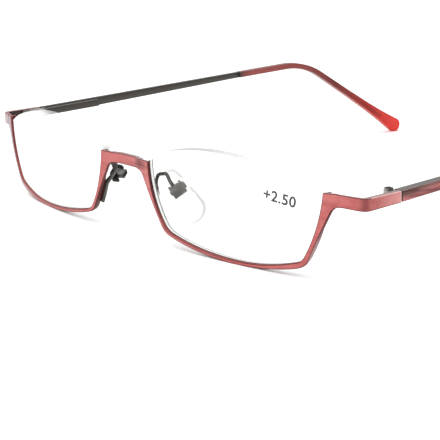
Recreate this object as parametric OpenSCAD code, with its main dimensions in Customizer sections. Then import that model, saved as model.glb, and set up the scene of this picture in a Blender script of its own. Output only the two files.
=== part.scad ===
// Half-frame reading glasses with sprung temples and screw-on nose pads.
// Millimetres, +X to the wearer's left, +Y towards the ears, +Z up.
// The glasses stand open on the plane z = 0, on both rims and both temple tips.

/* [Lenses] */
// Distance between the two lens openings at the bridge
lens_gap = 17.3; // [16:0.1:20]
// Width of each lens opening at its top
lens_w = 48.4; // [44:0.1:54]
// Depth of each lens opening below the top of the rim
lens_drop = 17.9; // [16:0.1:22]
// Rise of the bare lens edge above the top of the rim
crown_h = 5.2; // [4:0.1:7]
// Drop of the bare lens edge below the top of the rim at its outer end
crown_end_drop = 0.95; // [0.5:0.05:1.5]
// Thickness of each lens
lens_t = 2.2; // [1.9:0.1:2.8]
// Radius of the round inner top corner of each lens
crown_corner_r = 3; // [2:0.1:4]
// Radius of the ball that the front of the frame follows
base_r = 116; // [95:1:150]
// Distance from the middle to the point where that ball faces straight ahead
wrap_x = 16.5; // [10:0.5:24]

/* [Rims] */
// Width of the rim's painted face under the lens
face_low = 0.8; // [0.75:0.05:1.6]
// Depth of the rim from front to back
rim_depth = 1.5; // [1.4:0.05:1.8]
// Thickness of the rim's face, in front of the narrower wire that holds the lens
face_t = 0.6; // [0.5:0.05:0.65]
// Width of that wire round the lens
wire_w = 0.7; // [0.6:0.05:0.75]
// Depth of the groove that holds the lens
groove_d = 0.3; // [0.2:0.05:0.35]
// Width of the groove
groove_w = 0.5; // [0.4:0.05:0.6]
// Height of the end bar where it leaves the rim
bar_h = 2.6; // [2.4:0.05:3]
// Height of the bridge bar
bridge_h = 2.45; // [2:0.05:3]
// Thickness of the bridge and the end bars
bar_t = 1.1; // [1:0.05:1.3]
// Distance that the middle of the bridge stands behind its ends
bridge_set = 0.7; // [0.4:0.1:1]

/* [Temples] */
// Distance from each lens opening out to the outside of the hinge
end_reach = 8.45; // [7.5:0.05:10]
// Distance from the bridge back to the hinge pins
pin_y = 19.6; // [18:0.1:24]
// Height of each temple at its hinge
temple_h = 2.42; // [2.3:0.02:3]
// Height of each temple where its tip sleeve starts
temple_end_h = 1.55; // [1.45:0.05:2.2]
// Distance from the hinge pin to the tip sleeve
sleeve_y = 69.5; // [60:0.5:76]
// Distance from the hinge pin to the bend over the ear
bend_y = 95; // [88:0.5:102]
// Length of the tip past the bend
drop_len = 46; // [42:0.2:56]
// Angle of the tip below the temple
drop_angle = 33; // [26:0.5:40]
// Radius of the bend over the ear
bend_r = 26; // [18:0.5:32]
// Thickness of the tip sleeve
sleeve_t = 1.9; // [1.7:0.05:2.4]
// Height of the tip sleeve where it starts
sleeve_h = 1.55; // [1.5:0.05:2.6]
// Height of the tip at its round end
paddle_h = 4.1; // [3.4:0.1:5.2]
// Angle by which each temple leans in towards its ear
toe_in = 1.25; // [0:0.05:2]

/* [Hinges] */
// Radius of each hinge knuckle
knuckle_r = 1.1; // [1:0.05:1.15]
// Radius of the hinge screw
pin_r = 0.6; // [0.5:0.05:0.65]
// Radius of the hinge screw's head
pin_head_r = 0.95; // [0.8:0.05:1.05]
// Height of the hinge from its lowest knuckle to its highest
hinge_h = 2.2; // [2:0.05:2.3]
// Height of the middle knuckle
mid_knuckle_h = 0.8; // [0.7:0.05:0.9]
// Gap between the end bar and the temple
hinge_gap = 0.35; // [0.3:0.05:0.5]
// Length of the spring housing
housing_len = 16.8; // [15:0.2:20]
// Radius of the plunger
rod_r = 0.3; // [0.24:0.02:0.3]
// Radius of the spring's wire
spring_wire_r = 0.09; // [0.07:0.01:0.1]
// Number of turns of the hinge spring
spring_turns = 10; // [6:1:14]

/* [Nose pads] */
// Length of each nose pad
pad_len = 14.7; // [13:0.1:17]
// Width of each nose pad at its wider end
pad_w = 7.3; // [6.5:0.1:8.5]
// Width of each nose pad at its narrow end
pad_top_w = 5.2; // [4:0.1:6]
// Thickness of each nose pad
pad_t = 1.7; // [1.6:0.1:2.2]
// Angle by which each pad opens towards the face
pad_splay = 25; // [22:1:30]
// Angle by which each pad's lower end leans back
pad_lean = 31; // [24:1:36]
// Radius of the pad arm's wire
wire_r = 0.42; // [0.35:0.01:0.5]
// Length of the pad box along the pad
box_len = 2.7; // [2.5:0.1:3.2]
// Width of the pad box across the pad
box_w = 3.2; // [3:0.1:3.6]
// Radius of the pad screw
pad_screw_r = 0.5; // [0.4:0.05:0.6]

/* [Hidden] */

$fn = 48;
ball_fn = 160;
// Running clearance of pins and of the plunger
run_fit = 0.05;
// Clearance of pieces that are fixed together
seat_fit = 0.03;
// Overshoot of cuts past the faces that they cut
past = 1;

// Worn frame: z = 0 is the middle of the temples at the hinges
rim_top = 1.9;
nasal_x = lens_gap / 2;
temporal_x = nasal_x + lens_w;
low_share = 0.575;
low_x = nasal_x + low_share * lens_w;
low_z = rim_top - lens_drop;
rim_low_z = low_z - face_low;
ball_z = -2;
ball_front_y = -1.15;
ball_y = ball_front_y + base_r;

// Corners of the lens opening before they are rounded
nasal_inset = 5.45;
nasal_lift = 2.95;
temporal_inset = 5.3;
temporal_lift = 2.5;
nasal_corner = [nasal_x + nasal_inset, low_z + nasal_lift];
temporal_corner = [temporal_x - temporal_inset, low_z + temporal_lift];
nasal_bulge = 1.2;
temporal_bulge = 1;
nasal_trim = 1.8;
temporal_trim = 1.3;

// Corners of the rim's outer edge before they are rounded
nasal_out = [-0.8, -0.65];
temporal_out = [0.75, -1.3];
bridge_land = 2.79;
bar_land = 2.2;
bridge_low_z = rim_top - bridge_h;
outer_nasal = nasal_corner + nasal_out;
bridge_corner = [nasal_x - bridge_land, bridge_low_z];
outer_temporal = temporal_corner + temporal_out;
bar_corner = [temporal_x + bar_land, rim_top - bar_h];
outer_nasal_trim = 2;
outer_temporal_trim = 2.2;
bridge_trim = 1.4;
bar_trim = 1.7;

// Where the bridge and the end bars join the rims, past those corners
joint_past = 0.5;
bridge_joint_x = bridge_corner[0] - joint_past;
bar_joint_x = bar_corner[0] + joint_past;

// Where the groove lies behind the rim's face, and the lens behind the frame's front
groove_sink = 0.1;
groove_at = face_t + groove_sink;
lens_lead = 0.05;
lens_front = groove_at - lens_lead;

// Hinge
arm_out = 2.9;
arm_in = arm_out - bar_t;
side_x = temporal_x + end_reach;
pin_x = side_x - arm_out;
arm_end = 0.7;
temple_start = arm_end + hinge_gap;
leaf_back = 5;
leaf_t = 0.5;
leaf_in = arm_in - leaf_t;
leaf_short = 0.2;
ear_h = (hinge_h - mid_knuckle_h) / 2 - run_fit;
neck_in = 0.5;
neck_fit = 0.12;
neck_out = leaf_in - neck_fit;
housing_start = 1.6;
housing_in = -0.08;
housing_h = 1.75;
housing_end = housing_start + housing_len;
rod_x = (arm_in - housing_in) / 2;
bore_r = 0.56;
housing_wall = 0.7;
end_wall = 1.9;
bore_end = housing_end - end_wall;
stop_len = 1;
stop_room = 1.9;
stop_end = bore_end - stop_room;
rod_tail = 0.3;
stop_start = stop_end - stop_len;
spring_start = housing_start + housing_wall + run_fit;
spring_end = stop_start - run_fit;
spring_r = 0.42;
head_h = 0.3;
pin_tail = 0.15;

// Temple and tip
temple_t = bar_t;
temple_sink = 0.08;
temple_top = temple_h / 2 - temple_sink;
core_h = 0.85;
core_t = 0.8;
core_short = 7;
tip_swell = 6;
sleeve_mid = temple_top - temple_end_h / 2;
end_r = paddle_h / 2;
tip_end = [
    bend_y + drop_len * cos(drop_angle),
    sleeve_mid - drop_len * sin(drop_angle)
];

// Nose pads: the pad box's middle in the worn frame, then sizes about it
box_at = [nasal_x + 2.55, 5.4, -5.2];
box_front = 0.7;
box_back = 1;
box_wall = 0.5;
pad_gap = 0.8;
pad_shift = -2.85;
insert_plate_t = 0.4;
insert_skin = 0.6;
boss_r = 0.9;
boss_fit = 0.08;
mouth_depth = 0.65;
pad_back = -box_front - pad_gap;
pad_front = pad_back - pad_t;

// The glasses tip until the rims and the round ends of the tips touch one plane
rim_low_y = ball_y - sqrt(pow(base_r, 2) - pow(low_x - wrap_x, 2) - pow(rim_low_z - ball_z, 2));
tip_low = [pin_y + tip_end[0] * cos(toe_in), tip_end[1]];
rise_y = tip_low[0] - rim_low_y;
rise_z = tip_low[1] - rim_low_z;
lean = asin(end_r / norm([rise_y, rise_z])) - atan2(rise_z, rise_y);
foot_z = rim_low_y * sin(lean) + rim_low_z * cos(lean);
front_low_y = ball_front_y * cos(lean) - rim_top * sin(lean);
tip_far = pin_y + (tip_end[0] + end_r) * cos(toe_in);
length_y = tip_far * cos(lean) - tip_low[1] * sin(lean) - front_low_y;
mid_y = front_low_y + length_y / 2;

// Colours
paint_red = [0.78, 0.40, 0.42];
gunmetal = [0.30, 0.29, 0.28];
steel = [0.62, 0.62, 0.60];
lens_clear = [0.86, 0.90, 0.92, 0.35];
pad_clear = [0.90, 0.91, 0.90, 0.6];
tip_red = [0.72, 0.16, 0.16, 0.85];

// Points from p to q, without q, on an arc that bulges to the right by s
function bulge(p, q, s, n) = let(
    h = norm(q - p) / 2,
    r = (h * h + s * s) / (2 * s),
    u = (q - p) / (2 * h),
    side = [u[1], -u[0]],
    c = (p + q) / 2 - side * (r - s),
    half = asin(h / r)
) [for (i = [0 : n - 1]) let(a = -half + 2 * half * i / n) c + r * (side * cos(a) + u * sin(a))];

// Points from the lowest point p out to q, without p, on an arc that is level at p
function level_arc(p, q, n) = let(
    d = q - p,
    r = (d[0] * d[0] + d[1] * d[1]) / (2 * d[1]),
    turn = 2 * atan2(d[1], abs(d[0])),
    dir = d[0] / abs(d[0])
) [for (i = [1 : n]) let(a = turn * i / n) p + r * [dir * sin(a), 1 - cos(a)]];

// Points on a quadratic curve from p to q that aims at corner c
function blend_corner(p, c, q, n) = [
    for (i = [0 : n]) let(t = i / n) pow(1 - t, 2) * p + 2 * t * (1 - t) * c + t * t * q
];

// The points of a list that lie further than d from a corner
function beyond(list, c, d) = [for (p = list) if (norm(p - c) > d) p];

function reversed(list) = [for (i = [len(list) - 1 : -1 : 0]) list[i]];

// The point at distance d from corner c towards p
function towards(c, p, d) = c + (p - c) * d / norm(p - c);

// A path moved sideways by d, to its right when d is positive
function shifted(path, d) = [
    for (i = [0 : len(path) - 1]) let(
        a = path[max(i - 1, 0)],
        b = path[min(i + 1, len(path) - 1)],
        u = (b - a) / norm(b - a)
    ) path[i] + d * [u[1], -u[0]]
];

// A rounded corner between two runs of points that meet at c
function rounded(before, c, after, trim, n) = let(
    kept_before = beyond(before, c, trim),
    kept_after = beyond(after, c, trim)
) concat(
    kept_before,
    blend_corner(
        towards(c, kept_before[len(kept_before) - 1], trim),
        c,
        towards(c, kept_after[0], trim),
        n
    ),
    kept_after
);

// Lower edge of the lens opening, from the nasal top round to the temporal top
function eye_path() = let(
    nasal_side = bulge([nasal_x, rim_top], nasal_corner, nasal_bulge, 10),
    low_nasal = reversed(level_arc([low_x, low_z], nasal_corner, 12)),
    low_temporal = level_arc([low_x, low_z], temporal_corner, 10),
    temporal_side = concat(
        bulge(temporal_corner, [temporal_x, rim_top], temporal_bulge, 10),
        [[temporal_x, rim_top]]
    )
) rounded(
    rounded(nasal_side, nasal_corner, concat(low_nasal, [[low_x, low_z]], low_temporal), nasal_trim, 6),
    temporal_corner,
    temporal_side,
    temporal_trim,
    5
);

// Lower edge of the whole front, from the middle of the bridge out to the end bar
function outer_path() = let(
    nasal_side = [for (i = [1 : 9]) bridge_corner + (outer_nasal - bridge_corner) * i / 10],
    low = concat(
        reversed(level_arc([low_x, rim_low_z], outer_nasal, 12)),
        [[low_x, rim_low_z]],
        level_arc([low_x, rim_low_z], outer_temporal, 10)
    ),
    temporal_side = [for (i = [1 : 9]) outer_temporal + (bar_corner - outer_temporal) * i / 10],
    bridge_run = [[0, bridge_low_z], [bridge_corner[0] / 2, bridge_low_z]],
    bar_run = [[side_x, arm_low_z], [side_x + past, arm_low_z]]
) rounded(
    rounded(
        rounded(
            rounded(bridge_run, bridge_corner, nasal_side, bridge_trim, 6),
            outer_nasal, low, outer_nasal_trim, 6
        ),
        outer_temporal, temporal_side, outer_temporal_trim, 5
    ),
    bar_corner, bar_run, bar_trim, 6
);

// Bare top edge of the lens, from the temporal top back to the nasal top
crown_share = 0.447;
crown_x = nasal_x + crown_share * lens_w;
crown_full = crown_h + crown_end_drop;
crown_r = (pow(temporal_x - crown_x, 2) + pow(crown_full, 2)) / (2 * crown_full);
crown_z = rim_top + crown_h - crown_r;
crown_corner = [
    nasal_x + crown_corner_r,
    crown_z + sqrt(pow(crown_r - crown_corner_r, 2) - pow(nasal_x + crown_corner_r - crown_x, 2))
];
crown_start = asin((temporal_x - crown_x) / crown_r);
crown_stop = asin((crown_corner[0] - crown_x) / (crown_r - crown_corner_r));
function crown_path() = concat(
    [for (i = [0 : 24]) let(a = crown_start + (crown_stop - crown_start) * i / 24)
        [crown_x + crown_r * sin(a), crown_z + crown_r * cos(a)]],
    [for (i = [1 : 8]) let(a = 90 - crown_stop + (90 + crown_stop) * i / 8)
        crown_corner + crown_corner_r * [cos(a), sin(a)]]
);

// Middle line of the temple and its tip in side view, with the half height at each point
bend_steps = 12;
drop_steps = 8;
bend_pull = bend_r * tan(drop_angle / 2);
bend_out = [bend_y, sleeve_mid];
function tip_line() = concat(
    [[sleeve_y, sleeve_mid], [bend_y - bend_pull, sleeve_mid]],
    [for (i = [1 : bend_steps]) let(a = drop_angle * i / bend_steps)
        [bend_y - bend_pull + bend_r * sin(a), sleeve_mid - bend_r * (1 - cos(a))]],
    [for (i = [1 : drop_steps]) bend_out + (tip_end - bend_out)
        * (bend_pull + (drop_len - bend_pull) * i / drop_steps) / drop_len]
);
function ribbon(line, half_start, half_end) = let(
    n = len(line) - 1,
    run = [for (i = [0 : n]) norm(line[i] - line[0])],
    half = [for (i = [0 : n]) half_start + (half_end - half_start) * pow(run[i] / run[n], tip_swell)],
    side = [for (i = [0 : n]) let(
        d = line[min(i + 1, n)] - line[max(i - 1, 0)],
        u = d / norm(d)
    ) [u[1], -u[0]]]
) concat(
    [for (i = [0 : n]) line[i] + side[i] * half[i]],
    reversed([for (i = [0 : n]) line[i] - side[i] * half[i]])
);

// Stands a piece of the worn frame on the plane z = 0
module stand() {
    translate([0, -mid_y, -foot_z])
        rotate([lean, 0, 0])
            children();
}

// Draws a left piece, or its mirror image for the right side
module on_side(left) {
    stand()
        mirror([left ? 0 : 1, 0, 0])
            children();
}

// Puts a piece that is drawn about the hinge pin, with the temple along +Y
module at_hinge() {
    translate([pin_x, pin_y, 0])
        rotate([0, 0, toe_in])
            children();
}

// Puts a piece that is drawn about the pad box, with the pad's skin side at -X
module at_pad() {
    translate(box_at)
        rotate([pad_lean, 0, -pad_splay])
            children();
}

// A slab whose outline is drawn in front view
module front_slab(y0, y1) {
    translate([0, y1, 0])
        rotate([90, 0, 0])
            linear_extrude(y1 - y0)
                children();
}

// A slab whose outline is drawn in side view, y to the right and z up
module side_slab(x0, x1) {
    translate([x0, 0, 0])
        rotate([90, 0, 90])
            linear_extrude(x1 - x0)
                children();
}

// A round tube along a path that never runs straight back, wider across at some of its points
module tube(path, r, sides, wide = []) {
    n = len(path) - 1;
    points = [
        for (i = [0 : n]) let(
            d = path[min(i + 1, n)] - path[max(i - 1, 0)],
            a = cross(d, [0, 1, 0]) / norm(cross(d, [0, 1, 0])),
            b = cross(d, a) / norm(cross(d, a)),
            w = len(wide) == 0 ? 1 : wide[i]
        )
        for (j = [0 : sides - 1]) let(t = 360 * j / sides)
            path[i] + r * (w * a * cos(t) + b * sin(t))
    ];
    walls = [
        for (i = [0 : n - 1], j = [0 : sides - 1], k = [0, 1]) let(
            a = i * sides + j,
            b = i * sides + (j + 1) % sides
        ) k == 0 ? [a, a + sides, b + sides] : [a, b + sides, b]
    ];
    polyhedron(points = points, faces = concat(
        [[for (j = [0 : sides - 1]) j]],
        walls,
        [[for (j = [sides - 1 : -1 : 0]) n * sides + j]]
    ));
}

// The ball that the frame's front follows, sunk by a depth
module ball(depth) {
    translate([wrap_x, ball_y, ball_z])
        sphere(r = base_r - depth, $fn = ball_fn);
}

// The layer between two depths behind the frame's front
module layer(d0, d1) {
    difference() {
        ball(d0);
        ball(d1);
    }
}

// The whole front in front view, from the middle out past the end bar
module face_outline() {
    difference() {
        polygon(concat([[0, rim_top]], outer_path(), [[side_x + past, rim_top]]));
        above_edge(0);
    }
}

// The wire behind the rim's face, which follows the lens
module wire_outline() {
    intersection() {
        face_outline();
        above_edge(wire_w);
    }
}

// The stretch of the front that belongs to the rim
module rim_stretch() {
    translate([bridge_joint_x, rim_low_z - past])
        square([bar_joint_x - bridge_joint_x, rim_top - rim_low_z + 2 * past]);
}

// Everything above the lens's lower edge, which is grown by d
module above_edge(d) {
    polygon(concat(
        [[nasal_x - d, rim_top + 2 * crown_h]],
        shifted(eye_path(), d),
        [[temporal_x + d, rim_top + 2 * crown_h]]
    ));
}

// Front view of the lens's body, clear of the rim
module lens_outline() {
    intersection() {
        polygon(concat(eye_path(), crown_path()));
        above_edge(-seat_fit);
    }
}

// Front view of the lens with the lip that sits in the rim's groove
module lip_outline() {
    intersection() {
        above_edge(groove_d - seat_fit);
        translate([0, rim_low_z - past])
            square([side_x, rim_top - seat_fit - rim_low_z + past]);
    }
}

// Front to back reach of the front's slabs
front_y0 = -6;
front_y1 = 26;

module rim() {
    difference() {
        union() {
            intersection() {
                layer(0, face_t);
                front_slab(front_y0, front_y1)
                    intersection() {
                        face_outline();
                        rim_stretch();
                    }
            }
            intersection() {
                layer(face_t, rim_depth);
                front_slab(front_y0, front_y1)
                    intersection() {
                        wire_outline();
                        rim_stretch();
                    }
            }
        }
        intersection() {
            layer(groove_at, groove_at + groove_w);
            front_slab(front_y0, front_y1)
                above_edge(groove_d);
        }
    }
}

module lens() {
    union() {
        intersection() {
            layer(lens_front, lens_front + lens_t);
            front_slab(front_y0, front_y1)
                lens_outline();
        }
        intersection() {
            layer(groove_at + seat_fit, groove_at + groove_w - seat_fit);
            front_slab(front_y0, front_y1)
                lip_outline();
        }
    }
}

// Distance back to the frame's front at x, level with the bars
function front_y(x) = ball_y - sqrt(pow(base_r, 2) - pow(x - wrap_x, 2));

// Front face of the bridge in plan, from the middle out to the rim
flat_share = 0.45;
bridge_flat = flat_share * bridge_joint_x;
bridge_mid_y = front_y(bridge_joint_x) + bridge_set;
function bridge_line() = [
    for (i = [0 : 10]) let(t = i / 10)
        [
            bridge_flat + (bridge_joint_x - bridge_flat) * t,
            bridge_mid_y - bridge_set * (1 - cos(180 * t)) / 2
        ]
];

module half_bridge() {
    intersection() {
        translate([0, 0, bridge_low_z - 2 * bridge_h])
            linear_extrude(4 * bridge_h)
                polygon(concat(
                    [[0, bridge_mid_y]],
                    bridge_line(),
                    reversed([for (p = bridge_line()) p + [0, bar_t]]),
                    [[0, bridge_mid_y + bar_t]]
                ));
        front_slab(front_y0, front_y1)
            face_outline();
    }
}

module bridge() {
    color(paint_red)
        stand()
            union() {
                half_bridge();
                mirror([1, 0, 0])
                    half_bridge();
            }
}

// Outer face of the end bar in plan: along the front, round the bend and back to the hinge
arm_dir = [-sin(toe_in), cos(toe_in)];
arm_face = [pin_x, pin_y] + arm_out * [cos(toe_in), sin(toe_in)];
arm_tip = arm_face + arm_end * arm_dir;
elbow_y = front_y(side_x);
elbow = arm_face + arm_dir * (elbow_y - arm_face[1]) / arm_dir[1];
elbow_trim = 1.7;
elbow_rise = 0.3;
elbow_top_z = temple_top + elbow_rise;
arm_drop = 0.04;
arm_low_z = temple_top - temple_h - arm_drop;
bar_start = bar_joint_x - past;
bar_steps = 8;
function bar_line() = rounded(
    [for (i = [0 : bar_steps]) let(x = bar_start + (elbow[0] - bar_start) * i / bar_steps) [x, front_y(x)]],
    elbow,
    [elbow + (arm_tip - elbow) / 2, arm_tip],
    elbow_trim,
    8
);

module end_piece() {
    arm_far = pin_y + 2 * past;
    intersection() {
        translate([0, 0, -2 * bar_h])
            linear_extrude(4 * bar_h)
                polygon(concat(bar_line(), reversed(shifted(bar_line(), -bar_t))));
        front_slab(front_y0, arm_far)
            face_outline();
        side_slab(bar_joint_x, side_x + 2 * past)
            polygon([
                [front_y0, rim_top],
                [front_y0, -2 * bar_h],
                [arm_far, -2 * bar_h],
                [arm_far, temple_top],
                [elbow_y, elbow_top_z],
                [front_y(bar_joint_x), rim_top]
            ]);
    }
}

module hinge_leaf() {
    difference() {
        union() {
            translate([leaf_in, -leaf_back, -hinge_h / 2])
                cube([arm_in - leaf_in, leaf_back + arm_end - leaf_short, hinge_h]);
            for (z = [-hinge_h / 2, hinge_h / 2 - ear_h])
                translate([0, 0, z])
                    union() {
                        cylinder(r = knuckle_r, h = ear_h);
                        translate([0, -knuckle_r, 0])
                            cube([arm_in, knuckle_r + arm_end - leaf_short, ear_h]);
                    }
        }
        translate([0, 0, -hinge_h])
            cylinder(r = pin_r + seat_fit, h = 2 * hinge_h);
    }
}

module hinge_screw() {
    slot_w = 0.25;
    difference() {
        union() {
            translate([0, 0, -hinge_h / 2 - pin_tail])
                cylinder(r = pin_r, h = hinge_h + pin_tail + head_h / 2);
            translate([0, 0, hinge_h / 2])
                cylinder(r = pin_head_r, h = head_h);
        }
        translate([-pin_head_r - past, -slot_w / 2, hinge_h / 2 + head_h / 2])
            cube([2 * (pin_head_r + past), slot_w, head_h]);
    }
}

module hinge_slide() {
    difference() {
        union() {
            translate([0, 0, -mid_knuckle_h / 2])
                cylinder(r = knuckle_r, h = mid_knuckle_h);
            translate([-neck_in, 0, -mid_knuckle_h / 2])
                cube([neck_in + neck_out, housing_start - run_fit, mid_knuckle_h]);
            translate([rod_x, housing_start - 3 * run_fit, 0])
                rotate([-90, 0, 0])
                    cylinder(r = rod_r, h = stop_end + rod_tail - housing_start);
        }
        translate([0, 0, -hinge_h])
            cylinder(r = pin_r + run_fit, h = 2 * hinge_h);
    }
}

module spring_stop() {
    translate([rod_x, stop_start, 0])
        rotate([-90, 0, 0])
            difference() {
                cylinder(r = bore_r - run_fit, h = stop_len);
                translate([0, 0, -past])
                    cylinder(r = rod_r + seat_fit, h = stop_len + 2 * past);
            }
}

module spring_housing() {
    difference() {
        translate([-housing_in, housing_start, -housing_h / 2])
            cube([arm_in + housing_in, housing_len, housing_h]);
        translate([rod_x, housing_start - past, 0])
            rotate([-90, 0, 0])
                cylinder(r = rod_r + run_fit, h = housing_wall + 2 * past);
        translate([rod_x, housing_start + housing_wall, 0])
            rotate([-90, 0, 0])
                cylinder(r = bore_r, h = bore_end - housing_start - housing_wall);
    }
}

// Coil spring round the plunger, one unbroken tube
rings_per_turn = 8;
spring_sides = 6;
spring_run = spring_end - spring_start - 2 * spring_wire_r;
spring_pitch = spring_run / spring_turns;
spring_path = [
    for (i = [0 : spring_turns * rings_per_turn]) let(a = 360 * i / rings_per_turn)
        [
            rod_x + spring_r * cos(a),
            spring_start + spring_wire_r + spring_pitch * i / rings_per_turn,
            spring_r * sin(a)
        ]
];
echo(least_spring_gap = spring_pitch - 2 * spring_wire_r);

module hinge_spring() {
    tube(spring_path, spring_wire_r, spring_sides);
}

module temple() {
    union() {
        side_slab(arm_in, arm_in + temple_t)
            polygon([
                [temple_start, temple_top],
                [temple_start, temple_top - temple_h],
                [sleeve_y, temple_top - temple_end_h],
                [sleeve_y, temple_top]
            ]);
        side_slab(arm_in + (temple_t - core_t) / 2, arm_in + (temple_t + core_t) / 2)
            polygon(ribbon(core_line(), core_h / 2, core_h / 2));
    }
}

// Middle line of the metal core inside the sleeve
core_back = (drop_len - core_short) / drop_len;
core_bends = 1 + bend_steps;
core_stop = bend_out + (tip_end - bend_out) * core_back;
function core_line() = concat(
    [[sleeve_y - past, sleeve_mid]],
    [for (i = [1 : core_bends]) tip_line()[i]],
    [core_stop]
);

module temple_tip() {
    mid_x = arm_in + temple_t / 2;
    difference() {
        union() {
            side_slab(mid_x - sleeve_t / 2, mid_x + sleeve_t / 2)
                polygon(ribbon(tip_line(), sleeve_h / 2, end_r));
            translate([mid_x - sleeve_t / 2, tip_end[0], tip_end[1]])
                rotate([0, 90, 0])
                    cylinder(r = end_r, h = sleeve_t);
        }
        side_slab(mid_x - core_t / 2 - seat_fit, mid_x + core_t / 2 + seat_fit)
            polygon(ribbon(
                concat(core_line(), [core_stop + (tip_end - bend_out) * seat_fit / drop_len]),
                core_h / 2 + seat_fit,
                core_h / 2 + seat_fit
            ));
        translate([mid_x - sleeve_t, sleeve_y - 2 * past, -sleeve_h])
            cube([2 * sleeve_t, 2 * past + seat_fit, 3 * sleeve_h]);
    }
}

// A point given about the pad box, in the worn frame
function from_pad(p) = let(
    y = p[1] * cos(pad_lean) - p[2] * sin(pad_lean),
    z = p[1] * sin(pad_lean) + p[2] * cos(pad_lean)
) box_at + [p[0] * cos(pad_splay) + y * sin(pad_splay), y * cos(pad_splay) - p[0] * sin(pad_splay), z];

// Middle of a wire that lies on the back of the rim
function on_rim(x, z) = [
    x,
    ball_y - sqrt(pow(base_r - rim_depth, 2) - pow(x - wrap_x, 2) - pow(z - ball_z, 2)) + wire_r + seat_fit,
    z
];

// Route of the pad arm, from its foot on the rim over to the top of the pad box
box_top = [-0.05, -0.4, box_len / 2];
arm_foot = [[3.35, -11.3], [2, -8.9], [0.95, -6.3]];
arm_base = [for (p = arm_foot) on_rim(nasal_x + p[0], p[1])];
arm_knee = arm_base[2];
arm_bends = [[-2.1, 1.1, 2.8], [-1.8, 1.6, 4.5], [0.8, 2, 5.1]];
arm_drop_run = 1.2;
arm_route = concat(
    arm_base,
    [for (b = arm_bends) arm_knee + b],
    [for (rise = [arm_drop_run, seat_fit]) from_pad(box_top + [0, 0, rise])]
);
arm_trim = [0, 0.5, 0.5, 0.8, 0.8, 0.9, 0.35, 0];
arm_steps = 5;
arm_path = [
    for (i = [0 : len(arm_route) - 1])
        each arm_trim[i] == 0 ? [arm_route[i]] : blend_corner(
            towards(arm_route[i], arm_route[i - 1], arm_trim[i]),
            arm_route[i],
            towards(arm_route[i], arm_route[i + 1], arm_trim[i]),
            arm_steps
        )
];

// The foot of the pad arm is pressed flat, and turns round again at its first bend
foot_wide = 1.5;
foot_rings = 1 + 2 * (arm_steps + 1);
arm_wide = [for (i = [0 : len(arm_path) - 1]) i < foot_rings ? foot_wide : 1];

module pad_arm() {
    tube(arm_path, wire_r, 12, arm_wide);
}

module pad_box() {
    difference() {
        translate([-box_front, -box_w / 2, -box_len / 2])
            cube([box_front + box_back, box_w, box_len]);
        translate([-box_front - past, -box_w / 2 + box_wall, -box_len])
            cube([box_front + past + mouth_depth, box_w - 2 * box_wall, 2 * box_len]);
        rotate([90, 0, 0])
            cylinder(r = boss_r + boss_fit, h = box_w - 2 * box_wall, center = true);
        rotate([90, 0, 0])
            cylinder(r = pad_screw_r + seat_fit, h = 2 * box_w, center = true);
    }
}

module pad_screw() {
    head_r = 0.85;
    pad_head_h = 0.5;
    nub = 0.3;
    slot_w = 0.25;
    difference() {
        union() {
            translate([0, box_w / 2, 0])
                rotate([90, 0, 0])
                    cylinder(r = pad_screw_r, h = box_w + nub);
            translate([0, box_w / 2 + pad_head_h, 0])
                rotate([90, 0, 0])
                    cylinder(r = head_r, h = pad_head_h);
        }
        translate([-slot_w / 2, box_w / 2 + pad_head_h / 2, -head_r - past])
            cube([slot_w, pad_head_h, 2 * (head_r + past)]);
    }
}

plate_len = 5;
plate_w = 3.4;
plate_shift = -1.2;
boss_w = box_w - 2 * box_wall - 4 * run_fit;
stem_half = 0.6;

// The clear hard core of the pad, grown by a clearance where the pad is cut for it
module insert_shape(grow) {
    plate_x = pad_front + insert_skin;
    translate([plate_x - grow, -plate_w / 2 - grow, plate_shift - plate_len / 2 - grow])
        cube([insert_plate_t + 2 * grow, plate_w + 2 * grow, plate_len + 2 * grow]);
    translate([plate_x, -boss_w / 2 - grow, -stem_half - grow])
        cube([-plate_x, boss_w + 2 * grow, 2 * (stem_half + grow)]);
}

module pad_insert() {
    difference() {
        union() {
            insert_shape(0);
            rotate([90, 0, 0])
                cylinder(r = boss_r - run_fit, h = boss_w, center = true);
        }
        rotate([90, 0, 0])
            cylinder(r = pad_screw_r + run_fit, h = 2 * box_w, center = true);
    }
}

// Teardrop outline of the pad, narrow end up
pad_low_r = pad_w / 2;
pad_top_r = pad_top_w / 2;
pad_reach = pad_len - pad_low_r - pad_top_r;
pad_slant = asin((pad_low_r - pad_top_r) / pad_reach);
skin_dome_r = 36;
back_dome_r = 40;
dome_fn = 360;
function pad_outline() = concat(
    [for (i = [0 : 16]) let(a = pad_slant + (180 - 2 * pad_slant) * i / 16)
        [pad_top_r * cos(a), pad_len / 2 - pad_top_r + pad_top_r * sin(a)]],
    [for (i = [0 : 16]) let(a = 180 - pad_slant + (180 + 2 * pad_slant) * i / 16)
        [pad_low_r * cos(a), -pad_len / 2 + pad_low_r + pad_low_r * sin(a)]]
);

module nose_pad() {
    difference() {
        intersection() {
            translate([0, 0, pad_shift])
                side_slab(pad_front, pad_back)
                    polygon(pad_outline());
            translate([pad_front + skin_dome_r, 0, pad_shift])
                sphere(r = skin_dome_r, $fn = dome_fn);
            translate([pad_back - back_dome_r, 0, pad_shift])
                sphere(r = back_dome_r, $fn = dome_fn);
        }
        insert_shape(seat_fit);
    }
}

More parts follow.
